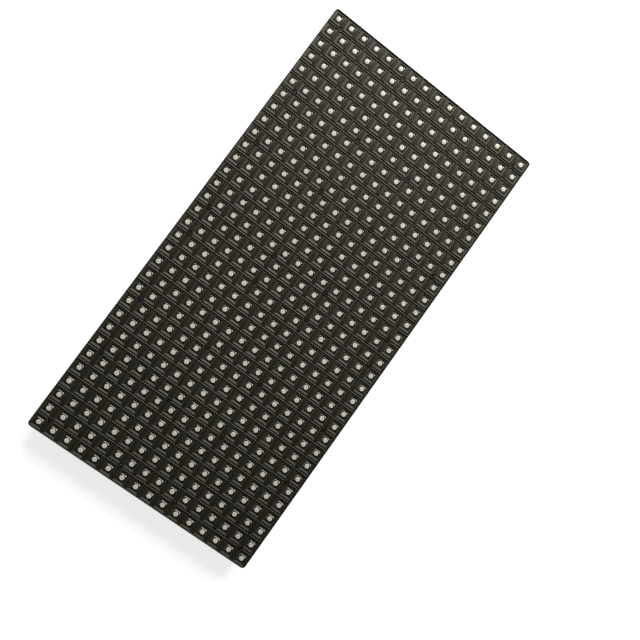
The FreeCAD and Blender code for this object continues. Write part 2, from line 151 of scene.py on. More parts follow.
pale_floor = bpy.data.materials.new("pale_floor")
pale_floor.use_nodes = True
floor_tree = pale_floor.node_tree
floor_nodes, floor_links = floor_tree.nodes, floor_tree.links
floor_nodes.clear()
floor_out = floor_nodes.new("ShaderNodeOutputMaterial")
floor_matt = floor_nodes.new("ShaderNodeBsdfDiffuse")
set_inputs(floor_matt, {"Color": (0.80, 0.80, 0.80, 1.0)})
floor_glow = floor_nodes.new("ShaderNodeEmission")
floor_paths = floor_nodes.new("ShaderNodeLightPath")
seen = math_node(floor_tree, "MAXIMUM", floor_paths.outputs["Is Camera Ray"],
                 floor_paths.outputs["Is Transmission Ray"])
floor_links.new(math_node(floor_tree, "MULTIPLY", seen, FLOOR_GLOW), floor_glow.inputs["Strength"])
floor_sum = floor_nodes.new("ShaderNodeAddShader")
floor_links.new(floor_matt.outputs["BSDF"], floor_sum.inputs[0])
floor_links.new(floor_glow.outputs["Emission"], floor_sum.inputs[1])

# Seen from beneath, and for the lamp beneath, the floor is clear, so the panel's back shows
floor_clear = floor_nodes.new("ShaderNodeBsdfTransparent")
floor_side = floor_nodes.new("ShaderNodeNewGeometry")
let_through = math_node(floor_tree, "MAXIMUM", floor_side.outputs["Backfacing"],
                        floor_paths.outputs["Is Shadow Ray"])
floor_mix = floor_nodes.new("ShaderNodeMixShader")
floor_links.new(let_through, floor_mix.inputs["Fac"])
floor_links.new(floor_sum.outputs["Shader"], floor_mix.inputs[1])
floor_links.new(floor_clear.outputs["BSDF"], floor_mix.inputs[2])
floor_links.new(floor_mix.outputs["Shader"], floor_out.inputs["Surface"])
floor_sheet.materials.append(pale_floor)


# Front mask.
# One black moulding in matt weatherproof plastic: a thin skirt round the board and a web
# with a sloping hopper over each LED. Its 32 screw seats are sunk in the web's crossings.
PITCH = 7.62
COLUMNS = 32
ROWS = 16
HALF_LENGTH = PITCH * COLUMNS / 2
HALF_WIDTH = PITCH * ROWS / 2
MASK_FOOT = 12.0
MASK_UNDER = 15.3
MASK_TOP = 16.5
MASK_WALL = 1.2
MASK_CORNER = 1.7
MASK_CHAMFER = 0.12
WINDOW_SHIFT = -0.1
WINDOW_X = 2.135
WINDOW_Y = 1.835
GROOVE_FLOOR = 15.5
SCREW_X = (7.62, 45.72, 76.2, 114.3)
SCREW_Y = (15.24, 53.34)
GATE_X = (30.48, 106.68)
GATE_Y = (30.48,)


def grain_group():
    """Fine moulded grain: a height, and a mask of worn and dusty patches."""
    group = bpy.data.node_groups.new("moulded_grain", "ShaderNodeTree")
    for title, way in (("Grain Size", "INPUT"), ("Patch Size", "INPUT"),
                       ("Height", "OUTPUT"), ("Patches", "OUTPUT")):
        group.interface.new_socket(name=title, in_out=way, socket_type="NodeSocketFloat")
    nodes, links = group.nodes, group.links
    given = nodes.new("NodeGroupInput")
    result = nodes.new("NodeGroupOutput")
    place = nodes.new("ShaderNodeTexCoord")
    fine = nodes.new("ShaderNodeTexNoise")
    set_inputs(fine, {"Detail": 3.0})
    broad = nodes.new("ShaderNodeTexNoise")
    set_inputs(broad, {"Detail": 4.0, "Roughness": 0.6})
    for noise in (fine, broad):
        links.new(place.outputs["Object"], noise.inputs["Vector"])
    links.new(given.outputs["Grain Size"], fine.inputs["Scale"])
    links.new(given.outputs["Patch Size"], broad.inputs["Scale"])
    links.new(fine.outputs["Fac"], result.inputs["Height"])
    links.new(broad.outputs["Fac"], result.inputs["Patches"])
    return group


MOULDED_GRAIN = grain_group()
GLOSS_VARIES = 0.05
BUMP_STRENGTH = 0.6


def plastic(name, colour, dusty, roughness, grain=2600.0, patch=26.0, relief=0.00002):
    """A moulded plastic: two close shades in soft patches, a fine grain and an uneven gloss."""
    finish = bpy.data.materials.new(name)
    finish.use_nodes = True
    nodes, links = finish.node_tree.nodes, finish.node_tree.links
    skin = nodes["Principled BSDF"]
    texture = nodes.new("ShaderNodeGroup")
    texture.node_tree = MOULDED_GRAIN
    set_inputs(texture, {"Grain Size": grain, "Patch Size": patch})
    shade = nodes.new("ShaderNodeValToRGB")
    for stop, position, tone in zip(shade.color_ramp.elements, (0.35, 0.72), (colour, dusty)):
        stop.position = position
        stop.color = (*tone, 1.0)
    gloss = nodes.new("ShaderNodeMapRange")
    set_inputs(gloss, {"To Min": roughness - GLOSS_VARIES, "To Max": roughness + GLOSS_VARIES})
    bump = nodes.new("ShaderNodeBump")
    set_inputs(bump, {"Distance": relief, "Strength": BUMP_STRENGTH})
    links.new(texture.outputs["Patches"], shade.inputs["Fac"])
    links.new(texture.outputs["Patches"], gloss.inputs["Value"])
    links.new(texture.outputs["Height"], bump.inputs["Height"])
    links.new(shade.outputs["Color"], skin.inputs["Base Color"])
    links.new(gloss.outputs["Result"], skin.inputs["Roughness"])
    links.new(bump.outputs["Normal"], skin.inputs["Normal"])
    return finish


MASK_PLASTIC = plastic("mask_plastic", (0.0130, 0.0126, 0.0078), (0.0180, 0.0174, 0.0114), 0.50)
# Painted warm light: the mask's reflections are tinted warm, standing in for the warm light on the panel
set_inputs(MASK_PLASTIC.node_tree.nodes["Principled BSDF"], {"Specular Tint": (1.0, 0.96, 0.86, 1.0)})


def new_piece(name, form, *finishes):
    """An object in the scene from a bmesh drawn in millimetres."""
    bmesh.ops.scale(form, vec=(MM, MM, MM), verts=form.verts)
    mesh = bpy.data.meshes.new(name)
    form.to_mesh(mesh)
    form.free()
    for finish in finishes:
        mesh.materials.append(finish)
    piece = bpy.data.objects.new(name, mesh)
    scene.collection.objects.link(piece)
    return piece


def settle(piece):
    """What the modifiers make becomes the piece's own mesh."""
    graph = bpy.context.evaluated_depsgraph_get()
    made = bpy.data.meshes.new_from_object(piece.evaluated_get(graph),
                                           preserve_all_data_layers=True, depsgraph=graph)
    piece.modifiers.clear()
    drawn = piece.data
    piece.data = made
    bpy.data.meshes.remove(drawn)
    made.name = piece.name


def new_tree(name, inputs):
    """A geometry tree with named inputs and two finishes, its input node and its inputs' identifiers."""
    tree = bpy.data.node_groups.new(name, "GeometryNodeTree")
    sockets = {}
    for title, kind in inputs + (("Finish", "Material"), ("Second Finish", "Material")):
        sockets[title] = tree.interface.new_socket(name=title, in_out="INPUT",
                                                   socket_type="NodeSocket" + kind)
    tree.interface.new_socket(name="Result", in_out="OUTPUT", socket_type="NodeSocketGeometry")
    return tree, tree.nodes.new("NodeGroupInput"), {title: sockets[title].identifier for title in sockets}


def end_tree(tree, given, shape):
    """Every face gets the finish, and those marked as second the second finish."""
    nodes, links = tree.nodes, tree.links
    main = nodes.new("GeometryNodeSetMaterial")
    other = nodes.new("GeometryNodeSetMaterial")
    marked = nodes.new("GeometryNodeInputNamedAttribute")
    marked.data_type = "BOOLEAN"
    set_inputs(marked, {"Name": "second"})
    links.new(shape, main.inputs["Geometry"])
    links.new(given.outputs["Finish"], main.inputs["Material"])
    links.new(main.outputs["Geometry"], other.inputs["Geometry"])
    links.new(marked.outputs["Attribute"], other.inputs["Selection"])
    links.new(given.outputs["Second Finish"], other.inputs["Material"])
    links.new(other.outputs["Geometry"], nodes.new("NodeGroupOutput").inputs["Result"])


def led_grid_tree():
    """Sets the drawn cell at every LED of the panel, welds the cells and gives them their finishes."""
    tree, given, identifiers = new_tree("led_grid", (
        ("Cell", "Geometry"), ("Columns", "Int"), ("Rows", "Int"), ("Pitch", "Float"), ("Weld", "Float")))
    nodes, links = tree.nodes, tree.links
    points = nodes.new("GeometryNodeMeshGrid")
    links.new(given.outputs["Columns"], points.inputs["Vertices X"])
    links.new(given.outputs["Rows"], points.inputs["Vertices Y"])
    for count, side in (("Columns", "Size X"), ("Rows", "Size Y")):
        steps = math_node(tree, "SUBTRACT", given.outputs[count], 1.0)
        links.new(math_node(tree, "MULTIPLY", steps, given.outputs["Pitch"]), points.inputs[side])
    copies = nodes.new("GeometryNodeInstanceOnPoints")
    real = nodes.new("GeometryNodeRealizeInstances")
    weld = nodes.new("GeometryNodeMergeByDistance")
    links.new(points.outputs["Mesh"], copies.inputs["Points"])
    links.new(given.outputs["Cell"], copies.inputs["Instance"])
    links.new(copies.outputs["Instances"], real.inputs["Geometry"])
    links.new(real.outputs["Geometry"], weld.inputs["Geometry"])
    links.new(given.outputs["Weld"], weld.inputs["Distance"])
    end_tree(tree, given, weld.outputs["Geometry"])
    return tree, identifiers


LED_GRID, LED_GRID_INPUTS = led_grid_tree()


def spread_over_leds(piece, weld, finish, second=None):
    """Copies the piece's cell over the whole LED grid and keeps the result as its mesh."""
    grid = piece.modifiers.new("led_grid", "NODES")
    grid.node_group = LED_GRID
    for name, amount in (("Columns", COLUMNS), ("Rows", ROWS), ("Pitch", PITCH * MM),
                         ("Weld", weld * MM), ("Finish", finish), ("Second Finish", second or finish)):
        grid[LED_GRID_INPUTS[name]] = amount
    settle(piece)


def ring(form, x_low, x_high, y_low, y_high, level):
    """Four corners of a rectangle, counter-clockwise."""
    corners = ((x_low, y_low), (x_high, y_low), (x_high, y_high), (x_low, y_high))
    return [form.verts.new((x, y, level)) for x, y in corners]


def band(form, inner, outer):
    """Faces between two rings of the same number of corners."""
    return [form.faces.new((inner[k], outer[k], outer[(k + 1) % len(outer)], inner[(k + 1) % len(inner)]))
            for k in range(len(inner))]


# The web round one LED. Across the rows, a ridge has a groove on one side and a step on the
# other. Low crests run between the columns, and four slopes lead down to the LED's window.
EDGE = PITCH / 2
RIDGE_NEAR, GROOVE_LINE, SLOPE_FAR = 3.74, 3.66, 3.10
RIDGE_FAR, STEP_FOOT, SLOPE_NEAR = -3.38, -3.27, -2.84
CREST_LOW, VALLEY_LOW, SIDE_HIGH = 3.32, 3.08, 2.84
VALLEY_HIGH, SIDE_LOW = -3.57, -3.34
X_LINES = (-EDGE, RIDGE_FAR, STEP_FOOT, SLOPE_NEAR, SLOPE_FAR, GROOVE_LINE, RIDGE_NEAR, EDGE)
Y_LINES = (-EDGE, VALLEY_HIGH, SIDE_LOW, SIDE_HIGH, VALLEY_LOW, CREST_LOW, EDGE)
ROW_LEVELS = {-EDGE: 16.335, RIDGE_FAR: 16.5, STEP_FOOT: 15.6, SLOPE_NEAR: 16.0, SLOPE_FAR: 16.46,
              GROOVE_LINE: 15.5, RIDGE_NEAR: 16.30, EDGE: 16.335}
CREST_LEVELS = {-EDGE: 16.42, RIDGE_FAR: 16.45, GROOVE_LINE: 16.2, RIDGE_NEAR: 16.40, EDGE: 16.42}
CREST_LEVEL = 16.42
VALLEY_LEVEL = 15.98
WINDOW_LEVEL = 16.0
WINDOW_LEVEL_FAR = 16.03
CELL_WELD = 0.01


def top_level(x, y):
    """The web's height at a corner of the drawn cell."""
    if SIDE_LOW <= y <= SIDE_HIGH:
        return ROW_LEVELS[x]
    if y in (VALLEY_LOW, VALLEY_HIGH):
        sunk = {GROOVE_LINE: GROOVE_FLOOR, SLOPE_NEAR: VALLEY_LEVEL, SLOPE_FAR: VALLEY_LEVEL}
        return sunk.get(x, ROW_LEVELS[x])
    return CREST_LEVELS.get(x, CREST_LEVEL)


cell = bmesh.new()
top = {(x, y): cell.verts.new((x, y, top_level(x, y))) for x in X_LINES for y in Y_LINES}
for x0, x1 in zip(X_LINES, X_LINES[1:]):
    for y0, y1 in zip(Y_LINES, Y_LINES[1:]):
        if (x0, y0) != (SLOPE_NEAR, SIDE_LOW):
            cell.faces.new((top[x0, y0], top[x1, y0], top[x1, y1], top[x0, y1]))
window = (WINDOW_SHIFT - WINDOW_X, WINDOW_SHIFT + WINDOW_X, -WINDOW_Y, WINDOW_Y)
window_under = ring(cell, *window, MASK_UNDER)
window_edge = ring(cell, *window, WINDOW_LEVEL)
for corner in window_edge[1:3]:
    corner.co.z = WINDOW_LEVEL_FAR
hopper_top = [top[x, y] for x, y in ((SLOPE_NEAR, SIDE_LOW), (SLOPE_FAR, SIDE_LOW),
                                     (SLOPE_FAR, SIDE_HIGH), (SLOPE_NEAR, SIDE_HIGH))]
band(cell, window_under, window_edge)
band(cell, window_edge, hopper_top)
under = {}
for x in X_LINES:
    for y in Y_LINES:
        if abs(x) == EDGE or abs(y) == EDGE:
            under[x, y] = cell.verts.new((x, y, MASK_UNDER))
cell.faces.new([window_under[1], window_under[0]] + [under[x, -EDGE] for x in X_LINES])
cell.faces.new([window_under[2], window_under[1]] + [under[EDGE, y] for y in Y_LINES])
cell.faces.new([window_under[3], window_under[2]] + [under[x, EDGE] for x in reversed(X_LINES)])
cell.faces.new([window_under[0], window_under[3]] + [under[-EDGE, y] for y in reversed(Y_LINES)])

# The hopper's two side slopes twist, so they are drawn in strips
strip_edges = [cell.edges.get(window_edge[0:2]), cell.edges.get(window_edge[2:4])]
strip_edges += [cell.edges.get((top[SLOPE_NEAR, y], top[SLOPE_FAR, y]))
                for y in (VALLEY_HIGH, SIDE_LOW, SIDE_HIGH, VALLEY_LOW)]
bmesh.ops.subdivide_edges(cell, edges=strip_edges, cuts=3, use_grid_fill=True)
front_mask = new_piece("mask_moulding", cell)
spread_over_leds(front_mask, CELL_WELD, MASK_PLASTIC)


def outline_place(x, y, inset, corner):
    """A point of the panel's rounded outline, moved in by the inset."""
    reach_x, reach_y = HALF_LENGTH - inset, HALF_WIDTH - inset
    x, y = max(-reach_x, min(reach_x, x)), max(-reach_y, min(reach_y, y))
    round_by = max(corner - inset, 0.0)
    over_x, over_y = abs(x) - (reach_x - round_by), abs(y) - (reach_y - round_by)
    if round_by > 0 and over_x > 0 and over_y > 0:
        far = math.hypot(over_x, over_y)
        x = math.copysign(reach_x - round_by + over_x / far * round_by, x)
        y = math.copysign(reach_y - round_by + over_y / far * round_by, y)
    return x, y


def step_out(form, edges, level):
    """Draws a row of wall faces on from the given edges to a new level."""
    drawn = bmesh.ops.extrude_edge_only(form, edges=edges)["geom"]
    verts = [g for g in drawn if isinstance(g, bmesh.types.BMVert)]
    for vert in verts:
        vert.co.z = level
    return [g for g in drawn if isinstance(g, bmesh.types.BMEdge) and g.is_boundary], verts


def reopened(piece):
    """A piece's mesh as a form in millimetres."""
    form = bmesh.new()
    form.from_mesh(piece.data)
    bmesh.ops.scale(form, vec=(1 / MM, 1 / MM, 1 / MM), verts=form.verts)
    return form


def keep_form(form, piece):
    """The form becomes the piece's mesh."""
    bmesh.ops.scale(form, vec=(MM, MM, MM), verts=form.verts)
    form.to_mesh(piece.data)
    form.free()


# The mask's edge: a small chamfer, the skirt down to the frame, and the skirt's inside. The
# outermost grooves and crests end at the level of the top.
LAST_GROOVE = 0.5
OUTER_X, OUTER_Y = 0.2, 0.3
ROUNDED_FROM = 1.2
ROUNDED_SHARE = 0.25

mask_form = reopened(front_mask)
for side in (-1, 1):
    for inset in (MASK_CORNER, MASK_CORNER * 0.6, MASK_CORNER * 0.28):
        for reach, across in ((HALF_LENGTH, Vector((1, 0, 0))), (HALF_WIDTH, Vector((0, 1, 0)))):
            everything = mask_form.verts[:] + mask_form.edges[:] + mask_form.faces[:]
            bmesh.ops.bisect_plane(mask_form, geom=everything, dist=0.0001,
                                   plane_co=across * side * (reach - inset), plane_no=across)
for vert in mask_form.verts:
    last_groove = vert.co.x > HALF_LENGTH - LAST_GROOVE
    outermost = abs(vert.co.y) > HALF_WIDTH - OUTER_Y or abs(vert.co.x) > HALF_LENGTH - OUTER_X
    if (last_groove or outermost) and vert.co.z > GROOVE_FLOOR - 0.1:
        vert.co.z = MASK_TOP
        if not vert.is_boundary:
            vert.co.x = min(vert.co.x, HALF_LENGTH - OUTER_X)
for vert in mask_form.verts:
    corner_x = abs(vert.co.x) - (HALF_LENGTH - MASK_CORNER)
    corner_y = abs(vert.co.y) - (HALF_WIDTH - MASK_CORNER)
    far = math.hypot(corner_x, corner_y)
    inside_corner = min(corner_x, corner_y) > 0 and far > ROUNDED_FROM
    if vert.co.z > GROOVE_FLOOR - 0.1 and not vert.is_boundary and inside_corner:
        pull = (ROUNDED_FROM + ROUNDED_SHARE * (far - ROUNDED_FROM)) / far
        vert.co.x = math.copysign(HALF_LENGTH - MASK_CORNER + corner_x * pull, vert.co.x)
        vert.co.y = math.copysign(HALF_WIDTH - MASK_CORNER + corner_y * pull, vert.co.y)
open_top = [e for e in mask_form.edges if e.is_boundary and e.verts[0].co.z > MASK_TOP - 0.2]
open_under = [e for e in mask_form.edges if e.is_boundary and e.verts[0].co.z < MASK_UNDER + 0.1]
rows = [({v for e in open_top for v in e.verts}, MASK_CHAMFER, MASK_CORNER),
        ({v for e in open_under for v in e.verts}, MASK_WALL, 0.0)]
edges = open_top
for level, inset, corner in ((MASK_TOP - MASK_CHAMFER, 0.0, MASK_CORNER), (MASK_FOOT, 0.0, MASK_CORNER),
                             (MASK_FOOT, MASK_WALL, 0.0), (MASK_UNDER, MASK_WALL, 0.0)):
    edges, drawn = step_out(mask_form, edges, level)
    rows.append((drawn, inset, corner))
for verts, inset, corner in rows:
    for vert in verts:
        vert.co.x, vert.co.y = outline_place(vert.co.x, vert.co.y, inset, corner)
bmesh.ops.remove_doubles(mask_form, verts=mask_form.verts, dist=0.004)
bmesh.ops.dissolve_degenerate(mask_form, edges=mask_form.edges, dist=0.002)
bmesh.ops.recalc_face_normals(mask_form, faces=mask_form.faces)
keep_form(mask_form, front_mask)


def at_both_sides(along, across):
    """Every place at plus and minus the given distances from the panel's centre."""
    return [(sx * x, sy * y) for x in along for y in across for sx in (-1, 1) for sy in (-1, 1)]


def circle(form, x, y, radius, level, sides):
    """Points round a circle."""
    return [form.verts.new((x + radius * math.cos(math.tau * k / sides),
                            y + radius * math.sin(math.tau * k / sides), level)) for k in range(sides)]


def round_bar(form, x, y, radius, low, high, sides, flare=0.0):
    """A closed round bar. Its top may be wider by the flare."""
    rings = [circle(form, x, y, radius, low, sides), circle(form, x, y, radius + flare, high, sides)]
    band(form, *rings)
    form.faces.new(list(reversed(rings[0])))
    form.faces.new(rings[1])


# Seats are cut for the screws and for the stubs of the moulding gates
SEAT_RADIUS = 1.45
SEAT_FLOOR = 15.55
GATE_RADIUS = 0.7
GATE_FLOOR = 16.15
seats = bmesh.new()
for x, y in at_both_sides(SCREW_X, SCREW_Y):
    round_bar(seats, x, y, SEAT_RADIUS, SEAT_FLOOR, MASK_TOP + 1, 24, flare=0.1)
for x, y in at_both_sides(GATE_X, GATE_Y):
    round_bar(seats, x, y, GATE_RADIUS, GATE_FLOOR, MASK_TOP + 1, 14)
bmesh.ops.recalc_face_normals(seats, faces=seats.faces)
cutter = new_piece("seat_cutter", seats)
cut = front_mask.modifiers.new("seats", "BOOLEAN")
cut.operation = "DIFFERENCE"
cut.solver = "EXACT"
cut.object = cutter
settle(front_mask)
bpy.data.objects.remove(cutter)

# The cut leaves many-sided faces with points in line, which are split up cleanly
CLEAN_REACH = 0.000002
cut_form = bmesh.new()
cut_form.from_mesh(front_mask.data)
bmesh.ops.remove_doubles(cut_form, verts=cut_form.verts, dist=CLEAN_REACH)
many_sided = [face for face in cut_form.faces if len(face.verts) > 4]
bmesh.ops.triangulate(cut_form, faces=many_sided, ngon_method="BEAUTY")
bmesh.ops.dissolve_degenerate(cut_form, edges=cut_form.edges, dist=CLEAN_REACH)
cut_form.to_mesh(front_mask.data)
cut_form.free()
front_mask.data.materials.clear()
front_mask.data.materials.append(MASK_PLASTIC)


def belongs(piece, slot, *replaced):
    """The panel is one body, so every piece rides on its root. Some stand for nodes of the solid model."""
    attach(piece, "root")
    if replaced:
        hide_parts(*replaced)


belongs(front_mask, "mask_plastic", "front_mask")


# Mask screws and gate stubs.
# Black self-tapping pan heads with a cross recess hold the mask and board to the frame.
# The stubs are where the plastic was let into the mould, cut off short.
def placed_copies_tree():
    """Copies of a drawn piece at the points of another object, each turned by the point's angle."""
    tree, given, identifiers = new_tree("placed_copies", (("Piece", "Geometry"), ("Places", "Object")))
    nodes, links = tree.nodes, tree.links
    places = nodes.new("GeometryNodeObjectInfo")
    angle = nodes.new("GeometryNodeInputNamedAttribute")
    angle.data_type = "FLOAT_VECTOR"
    set_inputs(angle, {"Name": "turn"})
    copies = nodes.new("GeometryNodeInstanceOnPoints")
    real = nodes.new("GeometryNodeRealizeInstances")
    links.new(given.outputs["Places"], places.inputs["Object"])
    links.new(places.outputs["Geometry"], copies.inputs["Points"])
    links.new(given.outputs["Piece"], copies.inputs["Instance"])
    links.new(angle.outputs["Attribute"], copies.inputs["Rotation"])
    links.new(copies.outputs["Instances"], real.inputs["Geometry"])
    end_tree(tree, given, real.outputs["Geometry"])
    return tree, identifiers


PLACED_COPIES, PLACED_COPIES_INPUTS = placed_copies_tree()


def place_copies(piece, places, finish, second=None):
    """Copies the drawn piece to the places (x, y, z, turn about Z in degrees) and keeps the result."""
    points = bpy.data.meshes.new("places")
    points.from_pydata([Vector(p[:3]) * MM for p in places], [], [])
    turn = points.attributes.new("turn", "FLOAT_VECTOR", "POINT")
    for k, p in enumerate(places):
        turn.data[k].vector = (0.0, 0.0, math.radians(p[3]))
    holder = bpy.data.objects.new("places", points)
    copies = piece.modifiers.new("placed_copies", "NODES")
    copies.node_group = PLACED_COPIES
    for name, amount in (("Places", holder), ("Finish", finish), ("Second Finish", second or finish)):
        copies[PLACED_COPIES_INPUTS[name]] = amount
    settle(piece)
    bpy.data.objects.remove(holder)
    bpy.data.meshes.remove(points)


def finished(name, form, places, finish, slot, replaced=(), second=None):
    """Makes the drawn form a piece, copies it to its places with its finishes, and hangs it on the panel's
    root.
    """
    bmesh.ops.recalc_face_normals(form, faces=form.faces)
    piece = new_piece(name, form)
    place_copies(piece, places, finish, second)
    belongs(piece, slot, *replaced)


def turned_form(form, profile, sides):
    """A round form from (radius, level) pairs, bottom to top. It closes where the radius is nought."""
    rings = [circle(form, 0.0, 0.0, radius, level, sides if radius else 1) for radius, level in profile]
    for low, high in zip(rings, rings[1:]):
        if len(low) == 1:
            for k in range(sides):
                form.faces.new((low[0], high[(k + 1) % sides], high[k]))
        elif len(high) == 1:
            for k in range(sides):
                form.faces.new((low[k], low[(k + 1) % sides], high[0]))
        else:
            for k in range(sides):
                form.faces.new((low[k], low[(k + 1) % sides], high[(k + 1) % sides], high[k]))
    return rings


SCREW_BLACK = plastic("screw_black_zinc", (0.012, 0.0115, 0.010), (0.020, 0.019, 0.017), 0.40, grain=900.0)
HEAD_RADIUS = 1.15
HEAD_TOP = 0.62


def cross_recess_screw():
    """A pan head with a cross recess and the start of its shank, base at the origin."""
    form = bmesh.new()
    sides = 24
    arm, slot_half, depth = 0.62, 0.25, 0.55
    brim = [(HEAD_RADIUS, 0.0), (HEAD_RADIUS, 0.28), (1.04, 0.47), (0.86, HEAD_TOP)]
    rings = turned_form(form, [(0.5, -1.4), (0.5, 0.0)] + brim, sides)
    form.faces.new(list(reversed(rings[0])))
    star = []
    for k in range(4):
        turn = math.tau * k / 4
        for reach, side in ((arm, -slot_half), (arm, slot_half), (slot_half, slot_half)):
            star.append((reach * math.cos(turn) - side * math.sin(turn),
                         reach * math.sin(turn) + side * math.cos(turn)))
    upper = [form.verts.new((x, y, HEAD_TOP)) for x, y in star]
    lower = [form.verts.new((x * 0.75, y * 0.75, HEAD_TOP - depth)) for x, y in star]
    band(form, lower, upper)
    form.faces.new(list(reversed(lower)))
    edges = [form.edges.get((upper[k], upper[(k + 1) % 12])) for k in range(12)]
    edges += [form.edges.get((rings[-1][k], rings[-1][(k + 1) % sides])) for k in range(sides)]
    bmesh.ops.triangle_fill(form, use_beauty=True, edges=edges)
    return form


finished("mask_screws", cross_recess_screw(),
         [(x, y, SEAT_FLOOR + 0.2, 37.0 * k) for k, (x, y) in enumerate(at_both_sides(SCREW_X, SCREW_Y))],
         SCREW_BLACK, "mask_plastic")

stub = bmesh.new()
rings = turned_form(stub, [(0.42, -0.1), (0.42, 0.22), (0.34, 0.3), (0.0, 0.27)], 12)
stub.faces.new(list(reversed(rings[0])))
GATE_GREY = plastic("gate_grey", (0.07, 0.068, 0.06), (0.12, 0.115, 0.10), 0.4, grain=6000.0)
finished("gate_stubs", stub, [(x, y, GATE_FLOOR, 0.0) for x, y in at_both_sides(GATE_X, GATE_Y)],
         GATE_GREY, "mask_plastic")


# LED packages.
# Each is a square white moulding with a black printed face, a round resin window over its
# three chips, and one corner of the black left off to show which way round it goes.
LED_BASE = 3.36
LED_SIDE = 2.84
LED_FOOT = 13.6
LED_SHOULDER = 16.07
LED_FACE = 16.24
LED_TOP = 16.35
LENS_RADIUS = 1.16
LENS_SHIFT = 0.06
KEY_CORNER = 0.62
LED_SHIFT = -0.1
WHITE_LEDGE = 0.08

LED_WHITE = plastic("led_white", (0.84, 0.82, 0.76), (0.90, 0.88, 0.83), 0.38, grain=3000.0)
LED_BLACK = plastic("led_black", (0.013, 0.011, 0.0065), (0.023, 0.019, 0.011), 0.5, grain=9000.0)

package = bmesh.new()
second = package.faces.layers.bool.new("second")
half = LED_SIDE / 2
foot = ring(package, -LED_BASE / 2, LED_BASE / 2, -LED_BASE / 2, LED_BASE / 2, LED_FOOT)
shoulder = ring(package, -half, half, -half, half, LED_SHOULDER)
band(package, foot, shoulder)
package.faces.new(list(reversed(foot)))
package.faces.new(shoulder)
near = WHITE_LEDGE - half
face_outline = [(near + KEY_CORNER, half), (near, half - KEY_CORNER), (near, -half),
                (half, -half), (half, half)]
cap_low, cap_high = [[package.verts.new((x * part, y * part, z)) for x, y in face_outline]
                     for part, z in ((1.004, LED_SHOULDER - 0.02), (0.985, LED_FACE))]
for face in band(package, cap_low, cap_high) + [package.faces.new(cap_high),
                                                package.faces.new(list(reversed(cap_low)))]:
    face[second] = True
bmesh.ops.translate(package, vec=(LED_SHIFT, 0.0, 0.0), verts=package.verts)
bmesh.ops.recalc_face_normals(package, faces=package.faces)
led_bodies = new_piece("led_bodies", package)
spread_over_leds(led_bodies, 0.0, LED_WHITE, LED_BLACK)
belongs(led_bodies, "led_resin", "led_packages")


def tinted(finish, share, colour):
    """Mixes a colour into the finish's own, as much as the share says."""
    nodes, links = finish.node_tree.nodes, finish.node_tree.links
    own = nodes["Principled BSDF"].inputs["Base Color"]
    tint = nodes.new("ShaderNodeMix")
    tint.data_type = "RGBA"
    links.new(share, tint.inputs["Factor"])
    links.new(own.links[0].from_socket, tint.inputs["A"])
    set_inputs(tint, {"B": (*colour, 1.0)})
    links.new(tint.outputs["Result"], own)


def lens_resin():
    """Milky resin, a little darker over the three chips in the middle."""
    finish = plastic("led_resin", (0.73, 0.705, 0.625), (0.84, 0.815, 0.725), 0.25, grain=5000.0)
    nodes, links = finish.node_tree.nodes, finish.node_tree.links
    set_inputs(nodes["Principled BSDF"], {"Coat Weight": 0.6, "Coat Roughness": 0.08})
    place = nodes.new("ShaderNodeAttribute")
    place.attribute_name = "lens_place"
    chips = None
    for chip in ((-0.38, 0.0, 0.0), (0.02, 0.04, 0.0), (0.40, -0.02, 0.0)):
        apart = nodes.new("ShaderNodeVectorMath")
        apart.operation = "DISTANCE"
        apart.inputs[1].default_value = chip
        links.new(place.outputs["Vector"], apart.inputs[0])
        near = nodes.new("ShaderNodeMapRange")
        set_inputs(near, {"From Min": 0.26, "From Max": 0.12})
        links.new(apart.outputs["Value"], near.inputs["Value"])
        if chips is None:
            chips = near.outputs["Result"]
        else:
            chips = math_node(finish.node_tree, "MAXIMUM", chips, near.outputs["Result"])
    tinted(finish, chips, (0.52, 0.49, 0.42))
    return finish


LENS_RESIN = lens_resin()
lens = bmesh.new()
rings = turned_form(lens, [(LENS_RADIUS, LED_FACE - 0.05), (LENS_RADIUS, LED_FACE + 0.05),
                           (1.08, LED_TOP - 0.015), (0.95, LED_TOP - 0.001), (0.0, LED_TOP)], 16)
lens.faces.new(list(reversed(rings[0])))
for face in lens.faces:
    face.smooth = len(face.verts) < 5
bmesh.ops.translate(lens, vec=(LENS_SHIFT, 0.0, 0.0), verts=lens.verts)
led_lenses = new_piece("led_lenses", lens)
place_in_lens = led_lenses.data.attributes.new("lens_place", "FLOAT_VECTOR", "POINT")
for vert in led_lenses.data.vertices:
    place_in_lens.data[vert.index].vector = (vert.co.x / MM, vert.co.y / MM, 0.0)
spread_over_leds(led_lenses, 0.0, LENS_RESIN)
belongs(led_lenses, "led_resin")


# Sealing gel.
# A brownish clear gel is poured over the board between the LEDs, under the mask. It creeps
# a little way up each package.
GEL_LEVEL = 14.05
GEL_CREEP = 14.25
GEL_FLOOR = 13.55
GEL_FLAT = 2.1
GEL_HOLE = 1.58
SEALING_GEL = plastic("sealing_gel", (0.030, 0.026, 0.014), (0.045, 0.039, 0.021), 0.22,
                      grain=500.0, patch=160.0, relief=0.00006)

